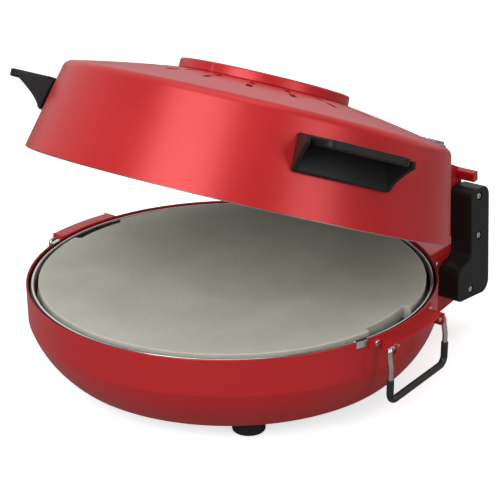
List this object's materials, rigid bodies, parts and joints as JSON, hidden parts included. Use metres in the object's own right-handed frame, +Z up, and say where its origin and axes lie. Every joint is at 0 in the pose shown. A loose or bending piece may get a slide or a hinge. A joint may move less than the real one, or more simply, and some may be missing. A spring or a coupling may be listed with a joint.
{
  "type": "countertop pizza oven",
  "caption": "Round electric tabletop oven: hinged domed lid with window, vents, dial and black handles over a baking stone in a tapered base with wire carrying bails.",
  "frame": {"origin": "on the table under the centre of the baking stone", "axes": "+Z up, -Y to the front where the lid opens, +X to the right as seen from the front"},
  "size_m": [0.381, 0.3645, 0.2724],
  "materials": {
    "red_paint": "satin metallic red enamel on pressed steel",
    "zinc_steel": "zinc plated pressed steel",
    "black_rubber": "matte moulded rubber",
    "screw_steel": "bright zinc plated",
    "pan_enamel": "dark heat resistant enamel",
    "trim_chrome": "polished",
    "shield_aluminium": "mill finish",
    "element_steel": "oxidised tubular heater sheath",
    "terminal_ceramic": "unglazed steatite",
    "black_plastic": "fine textured heat resistant moulding",
    "screw_chrome": "polished heads",
    "baking_stone": "unglazed cordierite",
    "liner_steel": "bright stainless",
    "window_glass": "tempered, clear",
    "timer_plastic": "moulded",
    "knob_chrome": "satin chrome on moulded knob",
    "wire_chrome": "bright plated wire",
    "sleeve_rubber": "slid-on grip sleeve"
  },
  "bodies": {
    "base": {"base_shell": "red_paint", "hinge_housing": "red_paint", "bottom_cover": "zinc_steel", "feet": "black_rubber", "foot_screws": "screw_steel", "base_pan": "pan_enamel", "pan_trim_ring": "trim_chrome", "pan_posts": "zinc_steel", "pan_screws": "screw_steel", "heat_shield": "shield_aluminium", "lower_heating_element": "element_steel", "lower_element_clips": "zinc_steel", "thermal_cutout": "zinc_steel", "terminal_block": "terminal_ceramic", "cord_gland": "black_plastic", "right_hinge_block": "black_plastic", "left_hinge_block": "black_plastic", "right_hinge_plate": "zinc_steel", "left_hinge_plate": "zinc_steel", "right_hinge_pin": "screw_steel", "left_hinge_pin": "screw_steel", "hinge_block_screws": "screw_chrome", "housing_screws": "screw_chrome", "right_bail_bracket": "red_paint", "left_bail_bracket": "red_paint", "bracket_screws": "screw_chrome", "rim_clips": "trim_chrome"},
    "stone": {"stone_plate": "baking_stone"},
    "lid": {"lid_shell": "red_paint", "lid_liner": "liner_steel", "window_ring": "red_paint", "window_glass": "window_glass", "window_retainer": "black_rubber", "inner_window_glass": "window_glass", "glass_clips": "zinc_steel", "upper_heating_element": "element_steel", "upper_element_clips": "zinc_steel", "timer_body": "timer_plastic", "right_lid_handle": "black_plastic", "left_lid_handle": "black_plastic", "lid_hinge_bracket": "red_paint", "strap_rivets": "screw_chrome"},
    "timer_dial": {"timer_knob": "knob_chrome"},
    "right_bail": {"right_bail_wire": "wire_chrome", "right_bail_sleeve": "sleeve_rubber"},
    "left_bail": {"left_bail_wire": "wire_chrome", "left_bail_sleeve": "sleeve_rubber"}
  },
  "joints": [
    {"name": "lid_hinge", "type": "hinge", "parent": "base", "child": "lid", "pos_m": [0, 0.173, 0.09], "axis": [-1, 0, 0], "range_deg": [-21.9, 36]},
    {"name": "stone_lift", "type": "slide", "parent": "base", "child": "stone", "axis": [0, 0, 1], "range_m": [0, 0.012]},
    {"name": "timer_turn", "type": "hinge", "parent": "lid", "child": "timer_dial", "pos_m": [0.111, 0.11433, 0.18267], "axis": [0, -0.373, -0.9278], "range_deg": [0, 300]},
    {"name": "right_bail_swing", "type": "hinge", "parent": "base", "child": "right_bail", "pos_m": [0.1805, 0.002, 0.0747], "axis": [0, -1, 0], "range_deg": [-18, 95]},
    {"name": "left_bail_swing", "type": "hinge", "parent": "base", "child": "left_bail", "pos_m": [-0.1805, 0.002, 0.0747], "axis": [0, 1, 0], "range_deg": [-18, 95]}
  ]
}
